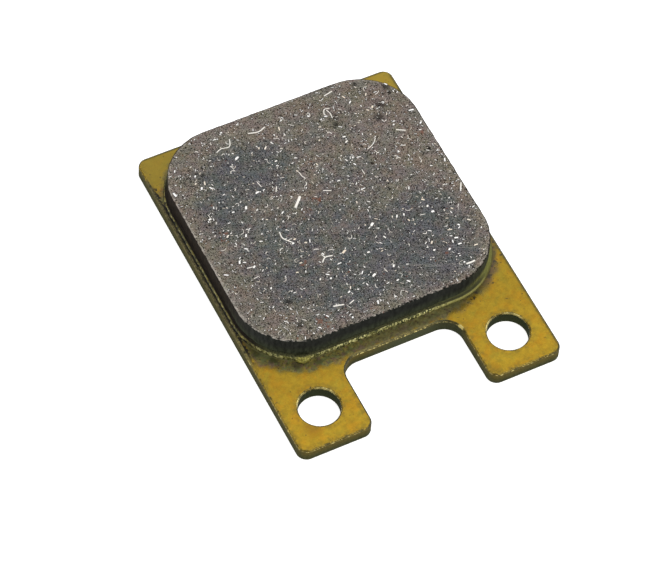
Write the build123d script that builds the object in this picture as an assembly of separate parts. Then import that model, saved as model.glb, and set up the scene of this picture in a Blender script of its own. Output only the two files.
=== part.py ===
from build123d import *
import math
import os

# Bicycle disc brake pad: a blanked steel backing plate, a pressed block of friction compound,
# and the resin that bonds them, squeezed out as a bead round the foot of the block.
# Millimetres. The origin is on the plate's back face, at the centre of its length and width.
# +Z points from the back face to the disc, and the two lugs are at the -Y end.

# Backing plate
plate_width = 34.1
plate_length = 45.3
plate_thickness = 1.8
far_corner_radius = 1.25
lug_corner_radius = 1.3
notch_width = 15.2
notch_depth = 9.55
notch_corner_radius = 2.4
edge_roll = 0.3  # the blanking punch draws the edges of the front face round
edge_break = 0.1  # tumbling takes the burr off the back face

# Pin holes, one in the middle of each lug
pin_diameter = 4.9
pin_clearance = 0.05  # all round the pin
pin_hole_setback = 5.0  # from the ends of the lugs to the centres of the holes

# Resin bond
bond_thickness = 0.1
bead_width = 0.45
bead_height = 0.35  # above the film
bead_crown = 0.05  # flat left on top of the bead, beside the block
bead_land = 0.1  # flat of the plate left beside the bead at each side
drop_diameter = 1.5
drop_height = 0.45
drop_turn = 18.0  # degrees round the lug-end left corner, from straight towards the lugs

# Friction block
block_height = 3.1
block_corner_radius = 7.4
block_edge_break = 0.1
block_to_notch = 2.1  # from the floor of the notch to the wall of the block
block_to_far_edge = 1.45  # from the wall of the block to the plate's far edge

# Places worked out from the sizes above
lug_end_y = -plate_length / 2
far_edge_y = plate_length / 2
notch_floor_y = lug_end_y + notch_depth
pin_hole_x = (plate_width + notch_width) / 4
pin_hole_y = lug_end_y + pin_hole_setback
pin_hole_radius = pin_diameter / 2 + pin_clearance
bond_top_z = plate_thickness + bond_thickness
block_width = plate_width - 2 * (edge_roll + bead_land + bead_width)
block_near_y = notch_floor_y + block_to_notch
block_far_y = far_edge_y - block_to_far_edge
block_length = block_far_y - block_near_y
block_centre_y = (block_near_y + block_far_y) / 2


def corners_at(outline, y):
    """The sharp corners of an outline that lie at one distance along the plate."""
    return [corner for corner in outline.vertices() if abs(corner.Y - y) < 1e-6]


def blank_outline():
    """Outline of the plate: a rectangle with a notch at one end, all its corners round."""
    outline = Rectangle(plate_width, plate_length)
    outline -= Pos(0, notch_floor_y - notch_depth / 2) * Rectangle(notch_width, notch_depth)
    outline = fillet(corners_at(outline, far_edge_y), far_corner_radius)
    outline = fillet(corners_at(outline, lug_end_y), lug_corner_radius)
    return fillet(corners_at(outline, notch_floor_y), notch_corner_radius)


def backing_plate():
    """Plate with its two pin holes, its front edges rolled and its back edges broken."""
    outline = blank_outline()
    for side in (-1, 1):
        outline -= Pos(side * pin_hole_x, pin_hole_y) * Circle(pin_hole_radius)
    plate = extrude(outline, plate_thickness)
    plate = fillet(plate.faces().sort_by(Axis.Z)[-1].edges(), edge_roll)
    return chamfer(plate.faces().sort_by(Axis.Z)[0].edges(), edge_break)


def block_outline(margin=0.0):
    """Outline of the block, or of something that stands out round it by a margin."""
    width = block_width + 2 * margin
    length = block_length + 2 * margin
    return Pos(0, block_centre_y) * RectangleRounded(width, length, block_corner_radius + margin)


def block_blank():
    """The block as it is pressed, with its top edge still sharp."""
    return Pos(0, 0, bond_top_z) * extrude(block_outline(), block_height)


def friction_block():
    """Block with its top edge rubbed down."""
    block = block_blank()
    return chamfer(block.faces().sort_by(Axis.Z)[-1].edges(), block_edge_break)


def run_drop():
    """Drop of resin that ran off the bead at one corner, a cap of a sphere on the plate's face."""
    radius = ((drop_diameter / 2) ** 2 + drop_height**2) / (2 * drop_height)
    reach = block_corner_radius + bead_width
    turn = math.radians(drop_turn)
    x = -block_width / 2 + block_corner_radius - reach * math.sin(turn)
    y = block_near_y + block_corner_radius - reach * math.cos(turn)
    ball = Pos(x, y, plate_thickness + drop_height - radius) * Sphere(radius)
    return split(ball, Plane.XY.offset(plate_thickness), keep=Keep.TOP)


def bond_layer():
    """Film under the block and the round-shouldered bead round its foot, with the block's seat in it."""
    rim_height = bond_thickness + bead_height
    bond = Pos(0, 0, plate_thickness) * extrude(block_outline(bead_width), rim_height)
    shoulder = min(bead_width, rim_height) - bead_crown
    bond = fillet(bond.faces().sort_by(Axis.Z)[-1].edges(), shoulder)
    return bond + run_drop() - block_blank()


os.makedirs("parts", exist_ok=True)
for make in (backing_plate, bond_layer, friction_block):
    piece = make()
    piece.label = make.__name__
    export_step(piece, f"parts/{make.__name__}.step")
    print(make.__name__, "volume", round(piece.volume, 2), "size", piece.bounding_box().size)
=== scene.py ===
import functools
import math

import bpy
import numpy as np
from mathutils import Matrix, Vector


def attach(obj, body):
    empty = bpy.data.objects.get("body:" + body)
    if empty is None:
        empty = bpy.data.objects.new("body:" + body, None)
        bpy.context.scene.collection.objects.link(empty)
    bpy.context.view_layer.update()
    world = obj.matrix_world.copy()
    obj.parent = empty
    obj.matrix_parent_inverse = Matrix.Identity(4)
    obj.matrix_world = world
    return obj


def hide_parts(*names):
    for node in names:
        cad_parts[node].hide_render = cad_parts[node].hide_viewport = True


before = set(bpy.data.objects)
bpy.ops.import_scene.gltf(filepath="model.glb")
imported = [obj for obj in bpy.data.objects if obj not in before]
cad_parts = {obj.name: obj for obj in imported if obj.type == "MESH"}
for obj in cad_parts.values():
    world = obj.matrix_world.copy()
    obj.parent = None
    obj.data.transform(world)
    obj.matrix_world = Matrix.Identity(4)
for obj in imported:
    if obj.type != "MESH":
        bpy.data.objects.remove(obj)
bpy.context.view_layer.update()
mm = 0.001
plateTop = 1.8  # mm, like all sizes below
pinHole = (12.325, -17.65, 0.0)  # middle of the right one
blockShape = {"halfWidth": 16.2, "near": -11.0, "far": 21.2, "corner": 7.4}
print("frame loaded:", sorted(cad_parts))


# node trees, the same for shaders and geometry

class Net:
    def __init__(self, tree):
        self.tree = tree

    def node(self, kind, inputs=None, **settings):
        made = self.tree.nodes.new(kind)
        for name, value in settings.items():
            setattr(made, name, value)
        for key, value in (inputs or {}).items():
            if isinstance(value, bpy.types.NodeSocket):
                self.tree.links.new(value, made.inputs[key])
            else:
                made.inputs[key].default_value = value
        return made

    def geo(self, kind, inputs=None, **settings):
        return self.node("GeometryNode" + kind, inputs, **settings).outputs[0]

    def math(self, operation, a, b=0.0, clamp=False):
        return self.node("ShaderNodeMath", {0: a, 1: b}, operation=operation, use_clamp=clamp).outputs[0]

    def chain(self, operation, *values):
        return functools.reduce(functools.partial(self.math, operation), values)

    times = functools.partialmethod(chain, "MULTIPLY")
    plus = functools.partialmethod(chain, "ADD")
    most = functools.partialmethod(chain, "MAXIMUM")
    minus = functools.partialmethod(chain, "SUBTRACT")

    def vector(self, operation, *values, output=0):
        return self.node("ShaderNodeVectorMath", dict(enumerate(values)), operation=operation).outputs[output]

    def distance(self, a, b):
        return self.vector("DISTANCE", a, b, output="Value")

    def scaled(self, vector, factor):
        return self.node("ShaderNodeVectorMath", {0: vector, "Scale": factor}, operation="SCALE").outputs[0]

    def combine(self, x=0.0, y=0.0, z=0.0):
        return self.node("ShaderNodeCombineXYZ", {0: x, 1: y, 2: z}).outputs[0]

    def split(self, vector):
        return self.node("ShaderNodeSeparateXYZ", {0: vector}).outputs[:]

    def ramp(self, value, fromLow, fromHigh, toLow, toHigh):  # smoothstep
        inputs = {"Value": value, "From Min": fromLow, "From Max": fromHigh}
        inputs.update({"To Min": toLow, "To Max": toHigh})
        return self.node("ShaderNodeMapRange", inputs, interpolation_type="SMOOTHSTEP").outputs["Result"]

    def rise(self, value, low, high, strength=1.0):
        return self.ramp(value, low, high, 0.0, strength)

    def mix(self, factor, a, b, blend="MIX"):
        a, b = (value + (1.0,) if isinstance(value, tuple) else value for value in (a, b))
        inputs = {0: factor, 6: a, 7: b}
        return self.node("ShaderNodeMix", inputs, data_type="RGBA", blend_type=blend).outputs[2]


class Paint(Net):  # a material, with its places in millimetres
    def __init__(self, name, fixed):
        self.material = bpy.data.materials.new(name)
        self.material.use_nodes = True
        super().__init__(self.material.node_tree)
        self.tree.nodes.clear()
        self.shader = self.node("ShaderNodeBsdfPrincipled", fixed)
        self.node("ShaderNodeOutputMaterial", {"Surface": self.shader.outputs["BSDF"]})
        where = self.node("ShaderNodeTexCoord").outputs
        self.place = self.scaled(where["Object"], 1.0 / mm)
        self.spot = self.split(self.place)
        self.facing = self.split(where["Normal"])

    def noise(self, scale, detail=2.0, roughness=0.5, shift=0.0, stretch=None, place=None):
        place = self.place if place is None else place
        if stretch:
            place = self.vector("MULTIPLY", place, stretch)
        if shift:
            place = self.vector("ADD", place, (shift, shift * 1.7, shift * 0.6))
        inputs = {"Vector": place, "Scale": scale, "Detail": detail, "Roughness": roughness}
        return self.node("ShaderNodeTexNoise", inputs).outputs["Fac"]

    def zone(self, xFrom, xTo, yFrom, yTo, strength=1.0):  # rises over a range of x and a range of y
        x, y = self.spot[:2]
        return self.times(self.rise(x, xFrom, xTo), self.rise(y, yFrom, yTo, strength))

    def tools(self):  # short names for what a look uses most
        return self.rise, self.ramp, self.noise, self.times, self.plus, self.most, self.zone

    def attribute(self, name):
        return self.node("ShaderNodeAttribute", attribute_name=name).outputs["Fac"]

    def wire(self, name, value):
        self.tree.links.new(value, self.shader.inputs[name])

    def bump(self, height, distance, strength):
        inputs = {"Height": height, "Strength": strength, "Distance": distance * mm}
        self.wire("Normal", self.node("ShaderNodeBump", inputs).outputs[0])


class Coat:  # a colour built up in layers, with the tints of a look
    def __init__(self, net, look, tint):
        self.net = net
        self.look = look
        self.tone = look[tint]

    def over(self, factor, tint, blend="MIX"):
        tint = self.look[tint] if isinstance(tint, str) else tint
        self.tone = self.net.mix(factor, self.tone, tint, blend)

    def shade(self, factor):  # darker or lighter by one number
        self.over(1.0, self.net.combine(factor, factor, factor), "MULTIPLY")

    def finish(self):
        self.net.wire("Base Color", self.tone)


class Growth(Net):  # a geometry tree in which every size is a named input
    def __init__(self, name, values):
        super().__init__(bpy.data.node_groups.new(name, "GeometryNodeTree"))
        self.values = values
        kinds = {float: "Float", int: "Int", tuple: "Vector"}
        face = self.tree.interface
        face.new_socket("Geometry", in_out="INPUT", socket_type="NodeSocketGeometry")
        for label, value in values.items():
            kind = kinds.get(type(value), type(value).__name__)
            face.new_socket(label, in_out="INPUT", socket_type="NodeSocket" + kind)
        face.new_socket("Geometry", in_out="OUTPUT", socket_type="NodeSocketGeometry")
        self.given = self.tree.nodes.new("NodeGroupInput").outputs

    def random(self, low, high, offset=0, kind="FLOAT"):
        seed = self.plus(self.given["Seed"], offset)
        first, output = {"FLOAT_VECTOR": (0, 0), "FLOAT": (2, 1), "INT": (4, 2)}[kind]
        inputs = {first: low, first + 1: high, "Seed": seed}
        return self.node("FunctionNodeRandomValue", inputs, data_type=kind).outputs[output]

    def store(self, geometry, name, value, domain):
        inputs = {"Geometry": geometry, "Name": name, "Value": value}
        return self.geo("StoreNamedAttribute", inputs, data_type="FLOAT", domain=domain)

    def named(self, name):
        return self.geo("InputNamedAttribute", {"Name": name}, data_type="FLOAT")

    def noise(self, scale, output="Fac"):
        inputs = {"Vector": self.geo("InputPosition"), "Scale": scale, "Detail": 1.0}
        return self.node("ShaderNodeTexNoise", inputs).outputs[output]

    def above(self, value, limit):
        return self.node("FunctionNodeCompare", {0: value, 1: limit}, operation="GREATER_THAN").outputs[0]

    def rotation(self, angles):
        return self.node("FunctionNodeEulerToRotation", {0: angles}).outputs[0]

    def move(self, geometry, **where):
        return self.geo("SetPosition", dict(where, Geometry=geometry))

    def join(self, first, *others):
        made = self.node("GeometryNodeJoinGeometry", {0: first})
        for other in others:
            self.tree.links.new(other, made.inputs[0])
        return made.outputs[0]

    def close(self, geometry, smooth):
        plain = self.geo("RealizeInstances", {0: geometry})
        shaded = self.geo("SetShadeSmooth", {0: plain, 2: smooth})
        self.node("NodeGroupOutput", {0: self.geo("SetMaterial", {0: shaded, 2: self.given["Finish"]})})

    def grow(self, seedMesh):
        name = seedMesh.name
        piece = addObject(name, seedMesh)
        modifier = piece.modifiers.new(name, "NODES")
        modifier.node_group = self.tree
        for socket in self.tree.interface.items_tree:
            if socket.in_out == "INPUT" and socket.name in self.values:
                modifier[socket.identifier] = self.values[socket.name]
        bpy.context.view_layer.update()
        graph = bpy.context.evaluated_depsgraph_get()
        mesh = bpy.data.meshes.new_from_object(piece.evaluated_get(graph), depsgraph=graph)
        piece.modifiers.clear()
        piece.data = mesh
        mesh.name = name
        return piece


# helpers for meshes and objects

def addObject(name, data):
    made = bpy.data.objects.new(name, data)
    bpy.context.scene.collection.objects.link(made)
    return made


def makeMesh(name, points, edges, faces):
    mesh = bpy.data.meshes.new(name)
    mesh.from_pydata(points, edges, faces)
    return mesh


def setAttributes(mesh, **columns):
    for name, values in columns.items():
        layer = mesh.attributes.new(name, "FLOAT", "POINT")
        layer.data.foreach_set("value", np.asarray(values, dtype=np.float32))


def grain(points, size, seed):  # smooth noise from -1 to 1 on rows of points
    cell = points / size
    base = np.floor(cell).astype(np.int64)
    part = cell - base
    part = part * part * (3.0 - 2.0 * part)
    total = np.zeros(len(points))
    for bits in range(8):  # the corners of the cell
        step = np.array([bits & 1, bits >> 1 & 1, bits >> 2 & 1])
        key = (base + step) * np.array([73856093, 19349663, 83492791])
        mixed = (key[:, 0] ^ key[:, 1] ^ key[:, 2]) + seed * 977
        mixed = (mixed ^ mixed >> 13) * 1274126177
        value = (mixed >> 7 & 0xffff) / 32767.5 - 1.0
        total += value * np.prod(np.where(step == 1, part, 1.0 - part), axis=1)
    return total


def fade(value, low, high):  # smoothstep
    t = np.clip((value - low) / (high - low), 0.0, 1.0)
    return t * t * (3.0 - 2.0 * t)


def roundedOutline(turn, halfWidth, near, far, corner):  # turn runs 0 to 4, from the middle of one corner
    side = np.floor(turn).astype(int) % 4
    reach = np.array([halfWidth - corner, (far - near) / 2 - corner])
    hubs = np.array([(-1, -1), (1, -1), (1, 1), (-1, 1)]) * reach + (0.0, (near + far) / 2)
    along = np.array([(1, 0), (0, 1), (-1, 0), (0, -1)])
    straight = 2 * reach[[0, 1, 0, 1]][side]
    arc = corner * math.pi / 4
    run = (turn - np.floor(turn)) * (2 * arc + straight)
    bent = np.clip(run, 0.0, arc) + np.clip(run - arc - straight, 0.0, arc)
    angle = math.radians(225) + side * math.pi / 2 + bent / corner
    outward = np.stack([np.cos(angle), np.sin(angle)], axis=1)
    hub = hubs[side] + along[side] * np.clip(run - arc, 0.0, straight)[:, None]
    return hub + outward * corner, outward


# camera, solved from the straight edges and the holes

photoCamera = {
    "azimuth": 30.412, "elevation": 56.063, "roll": -4.706,  # degrees
    "aim": (-2.7065, -2.564, 0.0), "distance": 418.297,
    "focalPixels": 3541.26, "imageWidth": 670, "sensor": 36.0, "clip": (0.01, 20.0),
}


def makeCamera(look):
    turn, tilt, roll = (math.radians(look[name]) for name in ("azimuth", "elevation", "roll"))
    forward = Vector((math.sin(turn) * math.cos(tilt), math.cos(turn) * math.cos(tilt), -math.sin(tilt)))
    right = Vector((math.cos(turn), -math.sin(turn), 0.0))
    down = forward.cross(right)
    across = right * math.cos(roll) + down * math.sin(roll)
    up = right * math.sin(roll) - down * math.cos(roll)
    data = bpy.data.cameras.new("photoCamera")
    data.sensor_width = look["sensor"]
    data.lens = look["focalPixels"] / look["imageWidth"] * look["sensor"]
    data.clip_start, data.clip_end = look["clip"]
    camera = addObject("photoCamera", data)
    place = (Vector(look["aim"]) - forward * look["distance"]) * mm
    camera.matrix_world = Matrix.Translation(place) @ Matrix((across, up, -forward)).transposed().to_4x4()
    bpy.context.scene.camera = camera


makeCamera(photoCamera)
print("camera set")


# backing plate: yellow-passivated zinc on blanked steel, with a painted reflection of the block's dark wall
# round the block

plateLook = {
    "gold": (0.352, 0.224, 0.0135), "orange": (0.375, 0.205, 0.01), "green": (0.3, 0.222, 0.018),
    "farGreen": (0.24, 0.185, 0.03), "darkGreen": (0.05, 0.052, 0.016), "brown": (0.24, 0.115, 0.01),
    "margin": (0.13, 0.1, 0.02), "speck": (0.045, 0.034, 0.018), "creviceShadow": (0.014, 0.011, 0.005),
    "reflectionOlive": (0.2, 0.174, 0.046), "reflectionPlum": (0.142, 0.096, 0.07), "reflectionGreen": (0.118, 0.14, 0.05),
    "reflectionGold": (0.26, 0.215, 0.04), "reflectionGrey": (0.115, 0.12, 0.058), "reflectionDull": (0.115, 0.085, 0.02),
    "smudgeBrown": (0.13, 0.08, 0.035), "reflectionEdge": (0.16, 0.125, 0.004), "skirt": (0.16, 0.155, 0.062),
    "marks": (  # x, y, radius, tint, strength
        (-14.4, -19.9, 1.6, "brown", 0.6), (8.2, -22.0, 1.4, "darkGreen", 0.45),
        (14.7, -9.0, 1.3, "smudgeBrown", 0.85), (13.4, -10.3, 1.0, "smudgeBrown", 0.8),
        (11.6, -11.1, 0.8, "darkGreen", 0.6), (-15.9, 17.2, 1.1, "brown", 0.5),
        (12.7, -10.9, 1.2, "reflectionDull", 0.75), (11.4, -11.25, 0.35, "speck", 1.0),
        (14.1, -9.2, 0.4, "speck", 0.9), (13.85, -9.95, 0.3, "speck", 0.9),
        (8.6, -12.3, 1.2, "reflectionGrey", 0.6),
        # the marks below, beside the bead at the front left, are painted shadow
        (-15.6, -8.0, 1.3, "darkGreen", 0.9), (-14.7, -9.5, 1.2, "darkGreen", 0.7),
        (-15.0, -8.9, 1.1, "reflectionGreen", 0.9), (-14.1, -9.7, 1.2, "darkGreen", 0.7),
        (-12.3, -11.6, 1.0, "darkGreen", 0.7), (-9.8, -12.1, 0.9, "darkGreen", 0.5)),
    "reflectionReach": 1.0, "reflectionFront": 1.05, "metallic": 0.85, "metallicInReflection": 0.3,
    "roughness": 0.19, "coat": 0.12,
}
rolledLook = {
    "worn": (0.64, 0.53, 0.19), "wornGold": (0.33, 0.25, 0.085), "gold": (0.3, 0.205, 0.025),
    "reflectionBand": (0.2, 0.165, 0.055), "side": (0.115, 0.097, 0.042), "low": (0.12, 0.1, 0.03),
    "grimeAndShade": (0.028, 0.03, 0.014), "creviceShadow": (0.03, 0.024, 0.008), "glintSpot": (7.45, -14.8, 1.7),
    "metallic": 0.85, "roughness": 0.17, "coat": 0.2, "flattest": 0.985,
}
shearedLook = {
    "olive": (0.05, 0.051, 0.021), "dark": (0.03, 0.034, 0.013), "upper": (0.09, 0.07, 0.018),
    "boreShade": (0.03, 0.036, 0.015), "shade": (0.05, 0.056, 0.029), "steepest": 0.22, "roughness": 0.6,
}


def fromHole(net):  # distance from the nearer pin hole's middle
    x, y = net.spot[:2]
    return net.distance(net.combine(net.math("ABSOLUTE", x), y), pinHole)


def fromBlock(net):  # distance outside the wall of the block
    halfWidth, near, far, corner = blockShape.values()
    flat = net.vector("SUBTRACT", net.place, (0.0, (near + far) / 2, 0.0))
    flat = net.vector("ABSOLUTE", net.vector("MULTIPLY", flat, (1.0, 1.0, 0.0)))
    past = net.vector("SUBTRACT", flat, (halfWidth - corner, (far - near) / 2 - corner, 0.0))
    past = net.vector("MAXIMUM", past, (0.0, 0.0, 0.0))
    return net.minus(net.vector("LENGTH", past, output="Value"), corner)


def platedSteel(look):
    fixed = {"Coat Weight": look["coat"], "Coat Roughness": 0.12, "Specular IOR Level": 0.35}
    net = Paint("yellowZincPlating", fixed)
    rise, ramp, noise, times, plus, most, zone = net.tools()
    x, y, z = net.spot
    upward = rise(z, 0.6, 1.2)  # only on the top face, not on the back face
    cloud = noise(0.55, 4.0, 0.6)
    tone = Coat(net, look, "gold")
    tone.over(rise(cloud, 0.42, 0.66), "orange")
    tone.over(rise(noise(0.9, 3.0, shift=31.0), 0.5, 0.75, 0.7), "green")
    mottle = plus(times(noise(5.5, 3.0, 0.7, 53.0), 0.8), noise(1.7, 2.0, 0.5, 17.0))
    tone.shade(ramp(mottle, 0.55, 1.25, 0.84, 1.14))
    tone.shade(ramp(y, -11.5, -20.0, 0.9, 1.06))
    tone.over(rise(y, 12.0, 21.0, 0.62), "farGreen")
    lean = times(ramp(x, -14.0, 14.0, -0.1, 0.09), rise(y, 12.0, 18.0))
    tone.shade(plus(1.0, lean))

    wide = net.math("ABSOLUTE", x)
    notch = times(rise(wide, 8.7, 7.9), rise(y, -13.5, -15.0))
    rim = rise(fromHole(net), 3.5, 2.8)
    soiled = most(rim, rise(y, -21.5, -22.4), rise(wide, 16.1, 16.8), notch)
    patchy = rise(noise(1.4, 4.0, 0.7, 97.0), 0.4, 0.65, 0.6)
    tone.over(times(soiled, patchy), "margin")  # dirt along the edges
    shaded = most(rise(x, 16.6, 16.76), rise(y, 22.2, 22.36))
    tone.over(times(shaded, 0.7), "darkGreen")

    away = fromBlock(net)
    front = zone(11.0, 5.0, -6.0, -10.0)
    farLeft = zone(-11.0, -14.0, 15.5, 18.5, -0.35)
    uneven = ramp(noise(1.1, 3.0, shift=5.0), 0.2, 0.8, -0.42, 0.42)
    reach = plus(look["reflectionReach"], times(front, look["reflectionFront"]), farLeft, uneven)
    reach = plus(reach, rise(x, 9.0, 13.0, -0.1))
    # painted reflection of the block's dark wall in the plate, reaching further at the front, with painted
    # shade close to the wall
    reflectionBand = times(rise(net.minus(reach, away), -0.6, 0.5, 0.9), upward)
    veil = Coat(net, look, "reflectionOlive")
    veil.over(rise(noise(1.0, 4.0, 0.65, 71.0), 0.5, 0.56), "reflectionPlum")
    veil.over(rise(noise(1.3, 4.0, 0.65, 83.0), 0.5, 0.56), "reflectionGreen")
    veil.over(rise(x, -6.0, -1.0, 0.6), "reflectionGrey")
    veil.over(rise(x, 7.0, 11.0, 0.5), "reflectionGold")
    veil.over(rise(x, 11.5, 13.5, 0.7), "reflectionDull")
    veil.over(rise(noise(2.4, 4.0, 0.7, 43.0), 0.5, 0.66, 0.8), "speck")
    blotch = noise(3.4, 4.0, 0.7, 91.0)
    veil.shade(ramp(blotch, 0.3, 0.7, 0.62, 1.38))
    # lighter or darker with the distance from the wall: part of the painted reflection and shade
    closeBy, further = ramp(front, 0.0, 1.0, 0.68, 1.1), ramp(front, 0.0, 1.0, 1.05, 0.92)
    veil.shade(ramp(away, 0.6, 1.4, closeBy, further))
    # darker line at the outer edge of the painted reflection, at the front
    veil.over(times(rise(reflectionBand, 0.7, 0.3, 0.85), front), "reflectionEdge")
    tone.over(reflectionBand, veil.tone)
    broken = rise(mottle, 0.65, 0.95)
    for markX, markY, radius, tint, strength in look["marks"]:
        near = rise(net.distance(net.place, (markX, markY, plateTop)), radius, 0.2 * radius, strength)
        tone.over(times(near, broken), tint)
    skirt = times(rise(away, 0.75, 0.5, 0.85), rise(blotch, 0.35, 0.5))
    tone.over(times(skirt, zone(-6.0, -9.0, -4.0, -6.0)), "skirt")  # thin resin beside the bead
    gap = plus(x, ramp(noise(2.2, 4.0, 0.65, 59.0), 0.3, 0.7, -0.3, 0.3))
    gap = times(rise(gap, -16.5, -16.62), rise(y, -11.0, -7.0), rise(y, 18.8, 17.4), upward)
    tone.over(gap, "creviceShadow")  # painted shadow in the gap beside the bead

    blot = times(noise(1.9, 2.0, 0.5, 61.0), ramp(away, 2.3, 1.1, 0.9, 1.1))
    blot = times(zone(8.5, 10.5, -4.0, -6.0), rise(blot, 0.63, 0.7, 0.25))
    dirt = times(upward, plus(rise(away, 2.6, 0.8, 0.05), blot))
    dirt = plus(noise(2.6, 3.0, shift=7.0), dirt)
    tone.over(rise(dirt, 0.68, 0.75, 0.85), "speck")
    tone.finish()
    # less metallic where the painted reflection and the painted shadow in the gap lie
    darkened = most(reflectionBand, gap)
    lost = times(darkened, look["metallic"] - look["metallicInReflection"])
    net.wire("Metallic", net.minus(look["metallic"], lost))
    rough = ramp(cloud, 0.3, 0.7, look["roughness"] * 0.8, look["roughness"] * 1.3)
    net.wire("Roughness", plus(rough, times(darkened, 0.15), times(gap, 0.4)))
    net.bump(noise(3.2, 2.0, shift=19.0), 0.012, 0.6)
    return net.material


def rolledEdges(look):  # plating drawn round by the punch, with painted highlights in dashes
    fixed = {"Coat Weight": look["coat"], "Coat Roughness": 0.15, "Specular IOR Level": 0.2}
    net = Paint("rolledEdges", fixed)
    rise, ramp, noise, times, plus, most, zone = net.tools()
    x, y = net.spot[:2]
    right, back, level = net.facing
    across = net.math("ABSOLUTE", right)
    ahead = rise(times(back, -1.0), 0.15, 0.4)
    dash = noise(2.1, 2.0, 0.6, 29.0)
    grimeAndShade = noise(1.7, 3.0, 0.6, 47.0)
    nearBlock = rise(fromBlock(net), 2.9, 2.2)
    high = Coat(net, look, "gold")
    # near the block the edge takes the tone of the painted reflection
    high.over(nearBlock, net.mix(rise(y, -7.0, -2.0), look["reflectionBand"], look["side"]))
    high.shade(ramp(ahead, 0.0, 1.0, 1.0, 0.54))
    tone = Coat(net, look, "low")
    tone.over(rise(level, 0.25, 0.85), high.tone)
    tone.shade(ramp(noise(5.0, 3.0, 0.7, 15.0), 0.3, 0.7, 0.5, 1.5))
    holed = rise(fromHole(net), 3.1, 2.9)
    solid = net.minus(1.0, holed)
    arcs = times(holed, rise(across, 0.1, 0.28), ahead)  # painted highlights on the sides of a hole's rim
    arcs = times(arcs, rise(level, 0.15, 0.3))
    crown = times(rise(level, 0.7, 0.56), rise(level, 0.22, 0.32))
    aside = times(rise(right, -0.3, -0.6), rise(y, -7.5, -9.5))
    # painted highlights in dashes on the edges facing the front and on the left lug's side
    glints = times(most(ahead, aside), rise(dash, 0.51, 0.56), crown)
    glints = most(glints, times(arcs, rise(level, 0.97, 0.88)))
    pale = most(nearBlock, arcs, rise(dash, 0.57, 0.63))
    tone.over(glints, net.mix(pale, look["wornGold"], look["worn"]))
    # dirt in patches
    tone.over(rise(grimeAndShade, 0.52, 0.62, 0.6), "grimeAndShade")
    tone.over(times(zone(4.0, 5.5, -17.0, -15.0, 0.6), rise(x, 8.6, 8.2)), "grimeAndShade")
    # painted highlight at the notch's right shoulder
    tone.over(rise(net.distance(net.place, look["glintSpot"]), 0.5, 0.3), "worn")
    # painted shade on the edges that face away, right and back
    behind = times(rise(most(right, back), 0.15, 0.4), solid)
    tone.over(times(behind, 0.85), "grimeAndShade")
    # painted shadow in the gap beside the bead on the left
    crack = plus(x, ramp(noise(2.2, 4.0, 0.65, 59.0), 0.3, 0.7, -0.14, 0.14))
    beside = times(zone(-15.0, -16.0, -7.0, -4.0), rise(y, 18.8, 17.4))
    tone.over(times(rise(crack, -16.86, -16.8), beside), "creviceShadow")
    tone.finish()
    net.wire("Metallic", ramp(behind, 0.0, 1.0, look["metallic"], 0.1))
    rough = ramp(grimeAndShade, 0.4, 0.65, look["roughness"], look["roughness"] * 2.2)
    dull = times(rise(across, 0.2, 0.5, 0.3), solid)
    net.wire("Roughness", plus(rough, most(dull, times(behind, 0.5))))
    net.bump(noise(2.8, 2.0, shift=19.0), 0.08, 0.6)
    return net.material


def shearedSteel(look):
    net = Paint("shearedWalls", {"Roughness": look["roughness"], "Specular IOR Level": 0.01})
    x, z = net.spot[0], net.spot[2]
    torn = net.noise(2.2, 4.0, 0.65, 3.0, (1.0, 1.0, 0.35))
    tone = Coat(net, look, "olive")
    tone.over(net.rise(torn, 0.35, 0.7), "dark")
    sideways = net.ramp(net.math("ABSOLUTE", net.facing[0]), 0.6, 0.95, 1.0, 0.6)
    tone.over(net.times(net.rise(z, 0.2, 1.6), sideways), "upper")
    shade = Coat(net, look, "shade")
    shade.shade(net.ramp(x, 3.5, 6.5, 1.0, 0.65))
    notch = net.times(net.zone(8.6, 8.2, -16.0, -14.5), net.rise(x, -5.0, 1.0, 0.85))
    tone.over(notch, shade.tone)
    tone.shade(net.ramp(net.noise(5.0, 3.0, 0.7, 21.0), 0.3, 0.7, 0.8, 1.2))
    # painted shade inside the pin holes
    tone.over(net.rise(fromHole(net), 3.0, 2.7), "boreShade")
    tone.finish()
    net.bump(torn, 0.06, 0.5)
    return net.material


def dressPlate():
    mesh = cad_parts["backing_plate"].data
    mesh.materials.clear()
    for finish in (platedSteel(plateLook), rolledEdges(rolledLook), shearedSteel(shearedLook)):
        mesh.materials.append(finish)
    level = np.array([abs(face.normal.z) for face in mesh.polygons])
    turned = (level < rolledLook["flattest"]).astype(np.int32) + (level < shearedLook["steepest"])
    mesh.polygons.foreach_set("material_index", turned.astype(np.int32))
    mesh.update()


dressPlate()
print("plate dressed")


# friction block: pressed compound, ground flat on top, with pits and a crumbled edge

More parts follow.
